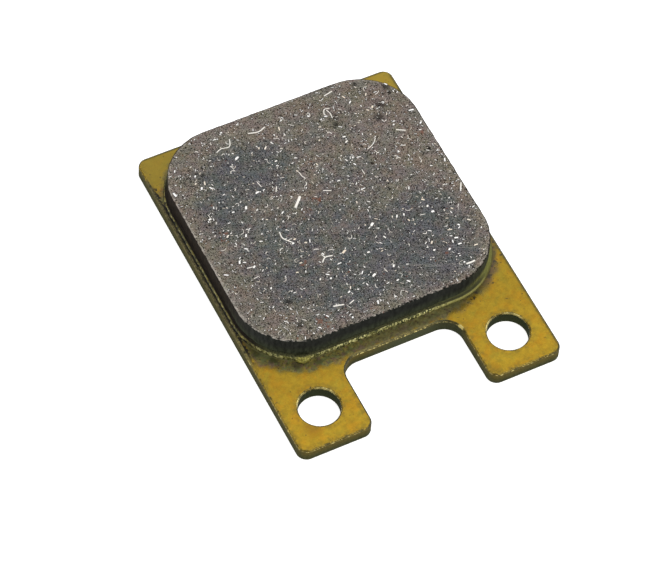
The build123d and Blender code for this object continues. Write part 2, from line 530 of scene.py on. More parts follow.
blockLook = {
    "foot": 1.9, "top": 5.0, "edge": 0.1, "pitted": 0.06,  # deeper than this is a pit
    "rings": 140, "wallDrops": (0.1, 0.2, 0.34, 0.55, 0.9, 1.4, 2.0, 2.6, 3.1),
    "waviness": 0.012, "grain": 0.012, "crumble": 0.17, "wallRoughness": 0.03, "tornDepth": 0.4,
    "pits": 90, "pitSeed": 5, "pitField": (15.6, 15.4), "pitSize": (0.08, 0.15), "pitDepth": 0.45,
    "grinding": math.radians(24.7), "smudged": 0.85,
    "bigPits": (  # x, y, radius
        (14.8, 7.9, 0.32), (7.65, 8.7, 0.26), (14.3, 17.2, 0.28), (-9.4, -9.3, 0.22), (-9.75, -10.35, 0.2),
        (-3.7, -10.4, 0.22), (12.8, 6.1, 0.16), (13.4, 14.5, 0.16), (7.6, 11.4, 0.2), (-12.2, 16.0, 0.2)),
    "coolPatches": (  # x, y, half width, half length and strength of the blue-grey patches
        (-6.8, 13.3, 8.0, 5.6, 1.0), (-11.5, 9.0, 4.5, 6.0, 0.85), (4.5, -3.5, 13.5, 8.0, 1.0),
        (-7.0, 2.0, 9.5, 7.5, 0.75), (-2.5, -6.5, 8.0, 4.0, 0.95), (4.0, 6.5, 9.0, 6.5, 0.5),
        (4.0, 13.0, 9.0, 6.0, 0.3), (10.0, -0.5, 6.0, 5.0, 0.95), (9.0, -7.5, 7.5, 4.5, 1.0),
        (-8.5, -2.5, 6.0, 5.0, 0.85), (-0.5, 4.0, 4.5, 3.5, 0.75)),
    "smudges": (
        (12.4, 16.0, 0.8), (11.4, 14.4, 0.75), (-10.3, -5.1, 0.6), (6.6, 16.6, 0.6), (-10.4, -8.5, 0.6),
        (6.2, 15.6, 0.5), (10.9, 19.9, 0.4), (0.7, 19.4, 0.4), (-11.6, 15.4, 0.4), (14.2, 18.1, 0.6)),
    "rustMarks": (
        (-0.65, 6.7, 0.8), (-13.1, 6.2, 0.9), (-6.4, -0.9, 0.8), (-7.8, -9.8, 1.5), (-2.0, 5.6, 0.5),
        (14.9, 10.6, 1.0), (-8.0, -9.3, 0.8), (9.8, -6.6, 0.5), (11.2, 16.6, 0.4)),
    "warm": (0.223, 0.191, 0.158), "cool": (0.1245, 0.1285, 0.131), "pale": (0.66, 0.61, 0.54),
    "dark": (0.009, 0.0085, 0.008), "rust": (0.19, 0.08, 0.052),
    "greenish": (0.95, 1.025, 0.97), "pinkish": (1.06, 0.975, 0.99),
    "bluish": (0.97, 0.99, 1.07), "yellowish": (1.02, 1.01, 0.94),
    "wall": (0.0115, 0.0075, 0.0042), "wallGrey": (0.0165, 0.0113, 0.007),
    "wallFront": (0.0162, 0.0174, 0.015), "wallFoot": (0.045, 0.052, 0.031),
    "wallResin": (0.165, 0.165, 0.05), "wallCorner": (0.035, 0.038, 0.024),
}


def frictionCompound(look):
    net = Paint("frictionCompound", {"Roughness": 0.78, "Specular IOR Level": 0.05})
    rise, ramp, noise, times, plus, most, zone = net.tools()
    x, y, z = net.spot
    fine = noise(10.0, 3.0, 0.7)
    coarse = noise(1.6, 3.0, 0.6, 11.0)
    tone = Coat(net, look, "warm")
    cool = plus(net.attribute("cool"), ramp(coarse, 0.3, 0.7, -0.24, 0.24))
    tone.over(rise(cool, 0.0, 1.0), "cool")
    for shift, one, other in ((67.0, "greenish", "pinkish"), (89.0, "bluish", "yellowish")):
        drift = rise(noise(0.5, 4.0, 0.7, shift), 0.38, 0.62)
        tone.over(1.0, net.mix(drift, look[one], look[other]), "MULTIPLY")
    inside = times(net.attribute("inside"), 1.0 / mm)
    rim = times(rise(inside, 0.3, 0.05), rise(coarse, 0.4, 0.65, 0.4))
    tone.over(rim, "pale")  # rubbed along the edge
    turned = {"Vector": net.place, "Angle": look["grinding"]}
    aligned = net.node("ShaderNodeVectorRotate", turned, rotation_type="Z_AXIS").outputs[0]
    lines = noise(1.0, 3.0, 0.6, 3.0, (0.12, 4.0, 1.0), aligned)
    lines = ramp(lines, 0.3, 0.7, -0.13, 0.13)
    tone.shade(plus(ramp(fine, 0.3, 0.7, 0.46, 1.54), lines))
    scratch = noise(1.0, 3.0, 0.55, 49.0, (0.16, 5.0, 1.0), aligned)
    tone.over(times(zone(-3.0, 4.0, -2.0, -6.0, 0.16), rise(scratch, 0.57, 0.64)), "pale")
    crumbs = rise(noise(7.5, 1.0, shift=23.0), 0.69, 0.78, 0.7)
    pores = rise(noise(7.0, 3.0, 0.7, 33.0), 0.47, 0.43)
    tone.over(most(crumbs, pores), "dark")
    tone.over(rise(noise(8.0, 1.0, shift=41.0), 0.68, 0.75, 0.9), "pale")
    rusty = plus(noise(2.1, 3.0, shift=57.0), times(net.attribute("rust"), 0.2))
    tone.over(rise(rusty, 0.66, 0.78, 0.75), "rust")
    tone.over(rise(net.attribute("stain"), 0.0, 1.0, 0.75), "dark")

    skin = Coat(net, look, "wall")
    streaks = noise(1.0, 3.0, 0.6, 5.0, (3.5, 3.5, 0.7))
    skin.over(rise(streaks, 0.35, 0.7), "wallGrey")
    skin.over(rise(y, 0.0, -8.0), "wallFront")
    ends = most(rise(x, -3.0, -9.0), rise(x, 3.0, 6.0, 0.6))
    skin.shade(plus(1.0, times(ends, rise(y, -4.0, -8.0, 0.35))))
    # olive towards the foot of the front walls: painted light reflected up from the plate
    ahead = most(zone(6.0, 12.0, 6.0, -3.0), rise(y, 2.0, -8.0))
    skin.over(times(rise(z, 3.9, 2.2), ahead), "wallFoot")
    climbed = zone(9.5, 12.5, 8.0, -2.0)
    skin.over(climbed, "wallCorner")
    skin.over(times(climbed, rise(z, 3.5, 2.5)), "wallResin")
    soot = noise(1.0, 4.0, 0.65, 45.0, (2.8, 2.8, 0.9))
    skin.shade(ramp(soot, 0.3, 0.7, 0.62, 1.38))
    teeth = noise(2.6, 4.0, 0.75, 13.0, (1.0, 1.0, 0.3))
    teeth = plus(z, teeth, rise(inside, 0.02, 0.3, 0.5))
    teeth = plus(teeth, rise(y, -2.0, -9.0, -0.2))  # most at the front
    skin.over(rise(teeth, look["top"] + 0.22, look["top"] + 0.28), tone.tone)
    # painted highlight along the top edge of the left wall
    worn = times(rise(net.facing[0], -0.15, -0.4), rise(z, 4.86, 4.93))
    skin.over(times(worn, ramp(coarse, 0.35, 0.6, 0.05, 0.4)), "pale")
    # painted shade on the top edges that face away, right and back
    behind = rise(most(*net.facing[:2]), 0.1, 0.3, 0.9)
    skin.over(times(behind, rise(z, 4.75, 4.85)), "wall")
    skin.finish()
    net.bump(fine, 0.03, 0.5)
    return net.material


def spread(points, marks):  # the mark's strength in its middle, 0 outside all of them
    most = np.zeros(len(points))
    for x, y, wide, long, strength in marks:
        away = np.hypot((points[:, 0] - x) / wide, (points[:, 1] - y) / long)
        most = np.maximum(most, strength * (1.0 - fade(away, 0.2, 1.3)))
    return most


def spreadRound(points, marks, strength):
    return spread(points, [(x, y, radius, radius, strength) for x, y, radius in marks])


def makeBlock(look, shape):
    rings, edge = look["rings"], look["edge"]
    inset = {name: size - edge for name, size in shape.items()}
    inset["near"] = shape["near"] + edge
    middle = np.array([0.0, (shape["near"] + shape["far"]) / 2])

    span = 2 * rings + 1  # square rings of the top, each one the outline made smaller
    down, across = np.mgrid[-rings:rings + 1, -rings:rings + 1]
    i, j = across.ravel(), down.ravel()
    ring = np.maximum(np.abs(i), np.abs(j))
    safe = np.maximum(ring, 1)
    sides = [(i + safe) / (2 * safe), 1 + (j + safe) / (2 * safe), 2 + (safe - i) / (2 * safe)]
    turn = np.select([j == -ring, i == ring, j == ring], sides, 3 + (safe - j) / (2 * safe))
    turn = np.where(ring == 0, 0.0, turn % 4)
    rim = roundedOutline(turn, **inset)[0]
    plan = middle + (rim - middle) * (ring / rings)[:, None]
    top = np.column_stack([plan, np.full(len(plan), look["top"])])

    fromEdge = (1.0 - ring / rings) * shape["halfWidth"]
    random = np.random.default_rng(look["pitSeed"])
    pitPlaces = random.uniform(-1, 1, (look["pits"], 2)) * look["pitField"] + middle
    least, growth = look["pitSize"]
    pitSizes = random.random(look["pits"])
    pits = [(x, y, least + growth * size ** 3) for (x, y), size in zip(pitPlaces, pitSizes)]
    sink = np.zeros(len(top))
    for x, y, radius in pits + list(look["bigPits"]):
        away = np.hypot(plan[:, 0] - x, plan[:, 1] - y) / radius
        sink = np.maximum(sink, radius * look["pitDepth"] * (1.0 - fade(away, 0.3, 1.0)))
    broken = fade(grain(top, 0.2, 3) + 0.6 * grain(top, 0.6, 4), 0.05, 0.9)  # crumbs lost along the edge
    front = fade(-plan[:, 1], 2.0, 9.0)
    chipped = (0.12 + 0.88 * front) * broken * (1.0 - fade(fromEdge, 0.02, 0.26))
    lost = look["waviness"] * (1.0 + grain(top, 2.5, 1)) + look["grain"] * (1.0 + grain(top, 0.3, 2)) + sink
    top[:, 2] -= lost + look["crumble"] * chipped

    order = np.arange(span * span).reshape(span, span)
    rimIndex = np.concatenate([order[0, :-1], order[:-1, -1], order[-1, :0:-1], order[:0:-1, 0]])
    wallPlan, wallOut = roundedOutline(turn[rimIndex], **shape)
    rows = [top]
    for drop in look["wallDrops"]:
        place = np.column_stack([wallPlan, np.full(len(wallPlan), look["top"] - drop)])
        streaks = 0.7 * grain(place * (1, 1, 0.3), 0.8, 7)
        rough = look["wallRoughness"] * (grain(place, 0.4, 6) + streaks - 0.5)
        torn = look["crumble"] * chipped[rimIndex] * max(0.0, 1.0 - drop / look["tornDepth"]) * 0.8
        place[:, :2] += wallOut * (rough - torn)[:, None]
        rows.append(place)
    rows.append(np.array([[0.0, middle[1], look["foot"]]]))
    points = np.vstack(rows)

    quads = [order[:-1, :-1], order[:-1, 1:], order[1:, 1:], order[1:, :-1]]
    faces = np.stack(quads, axis=-1).reshape(-1, 4).tolist()
    count = len(rimIndex)
    above = rimIndex
    for row in range(len(look["wallDrops"])):
        below = span * span + row * count + np.arange(count)
        faces += np.stack([above, below, np.roll(below, -1), np.roll(above, -1)], axis=1).tolist()
        above = below
    hub = np.full(count, len(points) - 1)
    faces += np.stack([above, hub, np.roll(above, -1)], axis=1).tolist()
    mesh = makeMesh("frictionBlock", (points * mm).tolist(), [], faces)
    mesh.validate()
    mesh.polygons.foreach_set("use_smooth", [True] * len(mesh.polygons))
    mesh.update()

    walls = np.zeros(len(points) - len(top))
    inside = np.append(fromEdge, walls)
    # darker in pits and on the chipped edge
    lowSpots = np.append(np.maximum(fade(sink, 0.02, 0.08), fade(chipped, 0.25, 0.6)), walls)
    cool = spread(points, look["coolPatches"]) * fade(inside, 0.05, 1.1)
    stain = np.maximum(spreadRound(points, look["smudges"], look["smudged"]), lowSpots)
    rust = spreadRound(points, look["rustMarks"], 1.0)
    setAttributes(mesh, cool=cool, stain=stain, rust=rust, inside=inside * mm)
    mesh.materials.append(frictionCompound(look))
    return addObject("frictionBlock", mesh)


frictionBlock = makeBlock(blockLook, blockShape)
print("friction block:", len(frictionBlock.data.polygons), "faces")


# flecks of metal and mineral, ground flush with the block's top

fleckLook = {
    "Density": 1.85e6, "Shortest": 0.08 * mm, "Longest": 0.38 * mm, "Narrowest": 0.06 * mm,
    "Widest": 0.12 * mm, "Thickness": 0.05 * mm, "Socket margin": 0.1 * mm, "Socket depth": 0.4,
    "Ragged": 0.022 * mm, "Margin": 0.12 * mm, "Seed": 3,
    "Ground": (blockLook["top"] - blockLook["pitted"]) * mm,
}
fleckTilt, shadowTilt = 0.1, 0.02  # radians
fleckStops = (  # place on the ramp, colour; the first stop is the painted shadow round each fleck
    (0.0, (0.03, 0.028, 0.026)), (0.08, (0.3, 0.27, 0.24)), (0.4, (0.6, 0.56, 0.49)),
    (0.56, (0.86, 0.76, 0.62)), (0.62, (1.0, 0.97, 0.91)), (0.9, (1.0, 0.98, 0.95)),
)
chipTrim = (0.88, 0.8)  # of the lengths and widths below, which take in some blur
placedChips = (  # x, y, length, width in mm, and turn in degrees, of the chips that catch the eye
    (-6.81, 15.96, 0.6, 0.3, 30), (-12.49, 13.72, 0.45, 0.25, 65), (-11.85, 14.24, 0.6, 0.2, 75),
    (-11.48, 13.31, 0.5, 0.2, -55), (-15.78, 14.21, 0.7, 0.3, -80), (-12.86, 14.61, 0.35, 0.2, 40),
    (-12.45, 15.62, 0.35, 0.18, 60), (-8.93, 9.01, 0.55, 0.28, 65), (-6.77, 10.44, 0.55, 0.25, 15),
    (-10.59, 9.06, 0.35, 0.2, 0), (-13.54, 9.26, 0.4, 0.24, 15), (-3.04, 15.91, 0.55, 0.18, 45),
    (-3.77, 16.2, 0.35, 0.18, 70), (-0.31, 17.81, 0.65, 0.18, 80), (-12.67, 6.2, 0.5, 0.2, 40),
    (-10.67, 5.41, 0.5, 0.22, 60), (-1.09, 11.29, 0.35, 0.2, -50), (-2.75, 13.64, 0.35, 0.18, 10),
    (-0.44, 13.1, 0.4, 0.15, -20), (-5.31, 6.58, 0.45, 0.18, 35), (-7.45, 6.45, 0.3, 0.18, -20),
    (-6.9, 20.13, 0.3, 0.2, 20), (-8.07, 19.53, 0.5, 0.14, -5), (-14.35, 17.29, 0.45, 0.14, 65),
    (6.25, 13.48, 0.42, 0.22, -10), (6.2, 12.71, 0.45, 0.2, 30), (8.85, 18.83, 0.5, 0.22, -65),
    (9.22, 17.81, 0.5, 0.18, 45), (11.49, 18.07, 0.5, 0.18, 60), (11.36, 16.07, 0.45, 0.24, 60),
    (10.63, 15.86, 0.4, 0.2, -40), (5.6, 17.13, 0.45, 0.2, -15), (14.37, 18.46, 0.45, 0.2, -50),
    (15.42, 13.69, 0.7, 0.22, -10), (15.6, 11.53, 0.4, 0.2, 40), (1.49, 11.2, 0.4, 0.2, -80),
    (4.95, 10.28, 0.45, 0.15, -70), (5.84, 10.31, 0.3, 0.2, 60), (5.6, 9.34, 0.4, 0.18, -60),
    (6.49, 10.07, 0.6, 0.12, -5), (2.76, 7.96, 0.45, 0.15, 0), (4.87, 5.69, 0.7, 0.14, 10),
    (4.25, 15.99, 0.4, 0.18, -20), (3.33, 14.24, 0.3, 0.2, 45), (3.7, 18.02, 0.35, 0.22, -40),
    (12.74, 13.07, 0.35, 0.15, 0), (12.5, 12.62, 0.3, 0.2, 30), (15.7, 5.44, 0.6, 0.18, 70),
    (-12.99, 2.32, 0.55, 0.22, 70), (-12.49, 2.05, 0.45, 0.15, -30), (-11.72, 1.02, 0.45, 0.22, 50),
    (-15.2, 1.35, 0.6, 0.18, -30), (-11.48, 3.7, 0.5, 0.2, -35), (-9.45, 3.94, 0.45, 0.15, -15),
    (-6.12, 2.11, 0.3, 0.25, 20), (-5.71, 2.56, 0.35, 0.22, 10), (-4.74, 1.59, 0.35, 0.24, -20),
    (-4.18, 1.62, 0.6, 0.12, 70), (-1.22, -1.44, 0.65, 0.3, 30), (-3.61, -0.68, 0.4, 0.2, -60),
    (-7.5, -1.79, 0.35, 0.2, -10), (-6.53, -0.76, 0.4, 0.2, 0), (-5.47, -3.77, 0.35, 0.18, 60),
    (-4.42, -3.52, 0.5, 0.18, -35), (-4.29, -4.17, 0.3, 0.22, 60), (-2.47, -2.71, 0.6, 0.14, 5),
    (-3.23, -6.77, 0.4, 0.2, 30), (-2.8, -6.28, 0.5, 0.14, 65), (-0.6, -4.98, 0.6, 0.14, 50),
    (-0.8, -9.45, 0.6, 0.2, 75), (-4.42, -10.1, 0.3, 0.22, 80), (-7.02, -8.72, 0.4, 0.18, -55),
    (-8.53, -9.77, 0.35, 0.2, -40), (-11.24, -2.5, 0.35, 0.18, 60), (3.54, 0.67, 0.6, 0.34, 40),
    (3.05, 0.37, 0.4, 0.12, 30), (10.91, -0.68, 0.4, 0.32, 0), (4.06, -1.57, 0.45, 0.2, -70),
    (1.35, -2.71, 0.35, 0.24, 0), (8.52, -5.68, 0.3, 0.25, 20), (8.77, -4.58, 0.5, 0.22, 50),
    (11.69, -6.12, 0.5, 0.22, 0), (11.69, -5.19, 0.5, 0.24, -15), (11.09, -5.47, 0.5, 0.14, 80),
    (10.23, -6.31, 0.4, 0.24, 35), (13.34, -7.05, 0.55, 0.2, 0), (10.97, -8.65, 0.25, 0.2, 60),
    (3.17, -5.67, 0.45, 0.22, 60), (2.68, -7.66, 0.35, 0.2, 15), (3.77, -8.31, 0.5, 0.22, -45),
    (9.29, -2.99, 0.5, 0.14, -35), (11.53, -3.85, 0.6, 0.18, -15), (12.82, -3.65, 0.35, 0.24, -50),
    (14.25, -3.52, 0.5, 0.2, -45), (13.18, -1.22, 0.35, 0.2, -50), (6.74, 0.49, 0.5, 0.18, 60),
    (7.6, 0.37, 0.4, 0.18, 80), (10.63, 1.35, 0.45, 0.24, -40), (10.71, 0.29, 0.35, 0.24, 60),
    (7.76, -0.6, 0.35, 0.2, -70), (4.3, 1.18, 0.5, 0.12, -35), (0.49, -5.88, 0.6, 0.28, 30),
    (9.9, 3.54, 0.5, 0.14, 65), (3.33, 4.27, 0.4, 0.18, 80),
)


def paleFleck():
    net = Paint("paleFleck", {"Roughness": 0.35, "Metallic": 0.5})
    ramp = net.node("ShaderNodeValToRGB", {0: net.attribute("shade")})
    for position, tone in fleckStops[1:-1]:
        ramp.color_ramp.elements.new(position)
    for element, (position, tone) in zip(ramp.color_ramp.elements, fleckStops):
        element.position = position
        element.color = tone + (1.0,)
    net.wire("Base Color", ramp.outputs[0])
    return net.material


def topPoints(net, density):  # scattered on the ground face only, not in pits or over the edge
    surface = net.node("GeometryNodeObjectInfo", {"Object": net.given["Block"]}).outputs["Geometry"]
    flat = net.above(net.split(net.geo("InputPosition"))[2], net.given["Ground"])
    within = net.above(net.named("inside"), net.given["Margin"])
    both = net.node("FunctionNodeBooleanMath", {0: flat, 1: within}, operation="AND").outputs[0]
    inputs = {"Mesh": surface, "Selection": both, "Density": density, "Seed": net.given["Seed"]}
    return net.geo("DistributePointsOnFaces", inputs, distribute_method="RANDOM")


def makeFlecks(look, placed, block):
    net = Growth("fleckScatter", dict(look, Block=block, Finish=paleFleck()))
    given = net.given
    crowd = net.times(given["Density"], net.ramp(net.named("cool"), 0.2, 1.0, 1.12, 0.66))
    size = net.math("POWER", net.random(0.0, 1.0), 2.6)
    length = net.plus(given["Shortest"], net.times(size, net.minus(given["Longest"], given["Shortest"])))
    slim = net.math("POWER", net.random(0.0, 1.0, 1), 2.4)
    width = net.plus(given["Narrowest"], net.times(slim, net.minus(given["Widest"], given["Narrowest"])))
    turn = net.random(0.0, math.pi, 2)
    bright = net.math("POWER", net.random(0.01, 1.0, 3), 0.47)
    points = topPoints(net, crowd)
    for name, value in (("long", length), ("wide", width), ("turn", turn), ("shade", bright)):
        points = net.store(points, name, value, "POINT")
    points = net.join(points, net.geo("MeshToPoints", {0: given["Geometry"]}))

    def setChips(chip, wider, thinner, lean):  # on all the points, each laid along its own turn
        depth = net.times(given["Thickness"], thinner)
        extent = net.combine(net.plus(net.named("long"), wider), net.plus(net.named("wide"), wider), depth)
        tilt = net.random((-lean, -lean, 0.0), (lean, lean, 0.0), 4, "FLOAT_VECTOR")
        turned = net.rotation(net.vector("ADD", tilt, net.combine(z=net.named("turn"))))
        inputs = {"Points": points, "Instance": chip, "Scale": extent, "Rotation": turned}
        return net.geo("InstanceOnPoints", inputs)

    cube = net.geo("MeshCube", {"Size": (1.0, 1.0, 1.0)})
    longer = net.geo("MeshCube", {"Size": (1.0, 1.0, 1.0), "Vertices X": 3})
    # dark chips a little wider than each fleck: painted shadow round the flecks
    fleckShadows = setChips(cube, given["Socket margin"], given["Socket depth"], shadowTilt)
    fleckShadows = net.store(fleckShadows, "shade", 0.0, "INSTANCE")
    loose = net.geo("RealizeInstances", {0: net.join(setChips(longer, 0.0, 1.0, fleckTilt), fleckShadows)})
    nudge = net.random((-1.0, -1.0, -0.2), (1.0, 1.0, 0.2), 5, "FLOAT_VECTOR")
    net.close(net.move(loose, Offset=net.scaled(nudge, given["Ragged"])), False)

    x, y, long, wide, turn = np.array(placed).T
    places = np.column_stack([x, y, np.full(len(x), blockLook["top"])]) * mm
    marks = makeMesh("groundFlecks", places.tolist(), [], [])
    long, wide = chipTrim[0] * long * mm, chipTrim[1] * wide * mm
    setAttributes(marks, long=long, wide=wide, turn=np.radians(turn), shade=0.75 + 0.25 * np.sin(7.0 * x))
    return net.grow(marks)


groundFlecks = makeFlecks(fleckLook, placedChips, frictionBlock)
print("flecks:", len(groundFlecks.data.polygons), "faces")


# cut fibres lying in the ground face: the plain ones scattered, the ones that stand out placed

fibreLook = {
    "Density": 1.3e5, "Shortest": 0.22 * mm, "Longest": 0.8 * mm, "Thickness": 0.05 * mm,
    "Flatness": (1.0, 0.4, 1.0), "Wander": 0.1 * mm, "Wander scale": 1800.0, "Margin": 0.5 * mm,
    "Ground": fleckLook["Ground"], "Seed": 21,
}
fibreBends = (0.1, -0.35, 0.6, -0.8)
fibreSink = 0.02
fibreTints = ((0.55, 0.49, 0.41), (1.0, 0.96, 0.88))
placedFibres = (  # thickness, then x, y along the fibre in mm
    (3.4, (-3.64, 6.6), (-3.05, 7.2), (-2.42, 7.85)),
    (1.4, (-6.86, 4.25), (-6.93, 3.35), (-6.43, 2.64), (-6.07, 2.21)),
    (1.6, (-4.18, -1.75), (-3.57, -1.22), (-2.68, -1.36)),
    (1.3, (-3.82, -0.68), (-3.57, -1.22)),
    (1.7, (-5.79, -7.79), (-4.54, -8.07)),
    (1.3, (-3.89, -8.25), (-3.21, -8.0)),
    (2.4, (11.06, -8.97), (11.6, -9.0), (12.21, -8.96)),
    (1.6, (15.29, 0.57), (15.93, 1.68)),
    (1.0, (8.0, 10.69), (8.98, 11.13), (9.6, 11.78)),
    (1.5, (12.43, 11.85), (13.43, 11.28)),
    (1.1, (5.57, 17.49), (5.9, 18.15), (6.53, 17.99)),
    (1.2, (6.1, 17.95), (6.3, 17.3), (6.23, 16.57)),
    (1.6, (-4.0, 18.71), (-2.75, 18.43), (-1.75, 18.78)),
    (1.3, (-8.64, 17.71), (-7.93, 18.0), (-6.86, 17.89), (-6.39, 18.89)),
    (1.4, (6.79, 19.96), (7.96, 20.21)),
    (1.0, (-1.25, 11.25), (-0.96, 11.01), (-0.88, 10.36), (-0.65, 10.01), (-0.82, 9.85)),
    (1.0, (-6.12, 11.91), (-5.97, 10.99)),
    (1.2, (0.46, 7.46), (1.36, 7.07)),
    (1.3, (-4.71, 9.6), (-4.29, 10.3)),
    (1.3, (-7.11, 15.75), (-6.5, 16.14)),
    (1.2, (-1.57, -1.5), (-0.86, -1.29)),
    (1.2, (-12.57, 1.21), (-11.5, 1.03)),
)


def paleFibre():
    net = Paint("paleFibre", {"Roughness": 0.4, "Metallic": 0.1})
    shade = net.plus(net.attribute("shade"), net.minus(net.noise(3.0), 0.5))
    net.wire("Base Color", net.mix(net.rise(shade, 0.1, 0.9), *fibreTints))
    return net.material


def makeFibres(look, placed, block):
    net = Growth("fibreScatter", dict(look, Block=block, Finish=paleFibre()))
    given = net.given
    bends = []
    for bend in fibreBends:
        inputs = {"Start": (-0.5, 0.0, 0.0), "Middle": (0.1, bend, 0.0), "End": (0.5, 0.0, 0.0)}
        strand = net.geo("CurveQuadraticBezier", dict(inputs, Resolution=7))
        bends.append(net.geo("GeometryToInstance", {0: strand}))
    length = net.random(given["Shortest"], given["Longest"])
    turned = net.random((0.0, 0.0, 0.0), (0.0, 0.0, 2 * math.pi), 1, "FLOAT_VECTOR")
    inputs = {"Points": topPoints(net, given["Density"]), "Instance": net.join(*bends), "Pick Instance": True,
              "Instance Index": net.random(0, len(bends) - 1, 2, "INT"), "Rotation": net.rotation(turned),
              "Scale": net.combine(length, length, length)}
    strands = net.geo("InstanceOnPoints", inputs)
    strands = net.store(strands, "thick", net.random(0.6, 1.0, 3), "INSTANCE")
    strands = net.store(strands, "shade", net.random(0.2, 1.1, 4), "INSTANCE")
    strands = net.geo("RealizeInstances", {0: strands})
    swirl = net.vector("SUBTRACT", net.noise(given["Wander scale"], "Color"), (0.5, 0.5, 0.5))
    swirl = net.scaled(net.vector("MULTIPLY", swirl, (2.0, 2.0, 0.0)), given["Wander"])
    drawn = net.geo("MeshToCurve", {0: given["Geometry"]})
    drawn = net.geo("CurveSplineType", {0: drawn}, spline_type="CATMULL_ROM")
    drawn = net.geo("ResampleCurve", {"Curve": drawn, "Count": 11})
    level = net.geo("SetCurveNormal", {0: net.join(net.move(strands, Offset=swirl), drawn)}, mode="Z_UP")
    ring = net.geo("CurvePrimitiveCircle", {"Resolution": 6, "Radius": given["Thickness"]})
    ring = net.geo("Transform", {"Geometry": ring, "Scale": given["Flatness"]})
    inputs = {"Curve": level, "Profile Curve": ring, "Scale": net.named("thick"), "Fill Caps": True}
    net.close(net.geo("CurveToMesh", inputs), True)

    points, edges, thick = [], [], []
    for width, *path in placed:
        edges += [(len(points) + step, len(points) + step + 1) for step in range(len(path) - 1)]
        points += [(x * mm, y * mm, (blockLook["top"] - fibreSink) * mm) for x, y in path]
        thick += [width] * len(path)
    drawing = makeMesh("cutFibres", points, edges, [])
    setAttributes(drawing, thick=thick, shade=[1.1] * len(points))
    return net.grow(drawing)


cutFibres = makeFibres(fibreLook, placedFibres, frictionBlock)
print("fibres:", len(cutFibres.data.polygons), "faces")


# resin bead squeezed out round the block's foot, with the drop that ran at one corner

beadLook = {
    "Width": 2 * blockShape["halfWidth"] * mm, "Length": (blockShape["far"] - blockShape["near"]) * mm,
    "Corner": blockShape["corner"] * mm, "Step": 0.085 * mm,
    "Seat": (0.0, (blockShape["near"] + blockShape["far"]) / 2 * mm, plateTop * mm),
    "Film": 0.1 * mm, "Tongue": 0.3 * mm, "Lumps": 0.075 * mm, "Lump scale": 1900.0, "Crumbs": 0.04 * mm,
    "Crumb scale": 6000.0, "Lumpy to": 4.5 * mm, "Calm from": 9.5 * mm,
    "Drop": (-11.226 * mm, -16.166 * mm, 0.0), "Drop reach": 1.0 * mm, "Drop swell": 0.8 * mm,
}
beadProfile = (  # out from the wall and up from the plate in mm, how loose it is, how near the crest
    (-0.3, 0.0, 0, 0), (-0.3, 0.1, 0, 0), (-0.05, 0.1, 0, 0), (-0.05, 0.72, 0.1, 0),
    (0.02, 0.59, 0.25, 0), (0.07, 0.53, 0.5, 0), (0.13, 0.495, 0.8, 0), (0.19, 0.47, 1, 0),
    (0.25, 0.437, 1, 0.1), (0.31, 0.39, 1, 0.55), (0.36, 0.34, 1, 0.95), (0.4, 0.28, 1, 1),
    (0.435, 0.2, 1, 1), (0.46, 0.1, 1, 0.9), (0.48, 0.0, 1, 0.6),
)
resinLook = {
    "amber": (0.142, 0.137, 0.034), "olive": (0.05, 0.055, 0.018), "calmOlive": (0.1, 0.1, 0.026),
    "smear": (0.034, 0.037, 0.015), "smearGreen": (0.085, 0.09, 0.034), "brow": (0.06, 0.06, 0.023),
    "drop": (0.27, 0.245, 0.05), "flankPale": (0.2, 0.2, 0.05), "flankDark": (0.1, 0.09, 0.018),
    "shine": (0.7, 0.65, 0.28), "smooth": (0.4, 0.375, 0.12), "grimeAndShade": (0.012, 0.011, 0.009),
    "leftTint": (1.06, 0.9, 0.88), "dropPlace": (-11.226, -11.3, 2.0), "roughness": 0.13, "metallic": 0.4,
}


